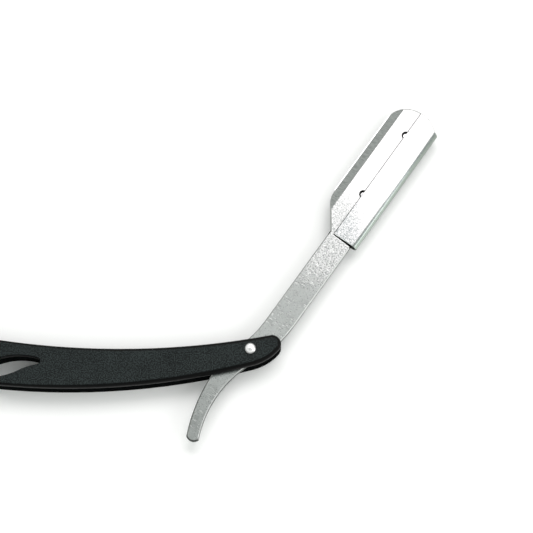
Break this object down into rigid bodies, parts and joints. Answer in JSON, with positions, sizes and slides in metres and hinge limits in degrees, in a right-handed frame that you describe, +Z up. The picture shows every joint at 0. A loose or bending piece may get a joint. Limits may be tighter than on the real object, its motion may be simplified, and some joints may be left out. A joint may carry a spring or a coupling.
{
  "type": "straight razor",
  "caption": "Folding barber's straight razor: two black plastic scales with a wave-shaped window, and a steel arm with tail and a flat holder for half blades under a slide-on spine clip.",
  "frame": {"origin": "where the pivot's axis meets the plane of the back scale's outer face, on which the razor rests", "axes": "+Z up along the pivot's axis out of the front scale; the handle lies along -X; the open arm points 54.94 degrees from +X towards +Y"},
  "size_m": [0.198, 0.129, 0.0103],
  "materials": {
    "scale_plastic": "fine moulded grain, smoother rounded rim",
    "spacer_plastic": "plain moulded",
    "polished_steel": "polished",
    "brass_washer": "stamped, plain",
    "brushed_arm": "satin, speckled and faintly brushed, bright broken edges",
    "clip_steel": "satin",
    "blade_steel": "bright strip steel, ground edge"
  },
  "bodies": {
    "handle": {"front_scale": "scale_plastic", "back_scale": "scale_plastic", "rear_spacer": "spacer_plastic", "rear_rivets": "polished_steel", "rear_burr_washers": "brass_washer", "pivot_rivet": "polished_steel", "pivot_burr_washer": "brass_washer", "front_thrust_washer": "brass_washer", "back_thrust_washer": "brass_washer"},
    "arm": {"holder_arm": "brushed_arm", "back_leaf": "brushed_arm", "locating_pins": "polished_steel", "leaf_rivets": "polished_steel", "half_blade": "blade_steel"},
    "clip": {"spine_clip": "clip_steel"}
  },
  "joints": [
    {"name": "arm_pivot", "type": "hinge", "parent": "handle", "child": "arm", "pos_m": [0, 0, 0.00545], "axis": [0, 0, 1], "range_deg": [-145, 123]},
    {"name": "clip_slide", "type": "slide", "parent": "arm", "child": "clip", "axis": [0.5744, 0.8186, 0], "range_m": [0, 0.062]}
  ]
}
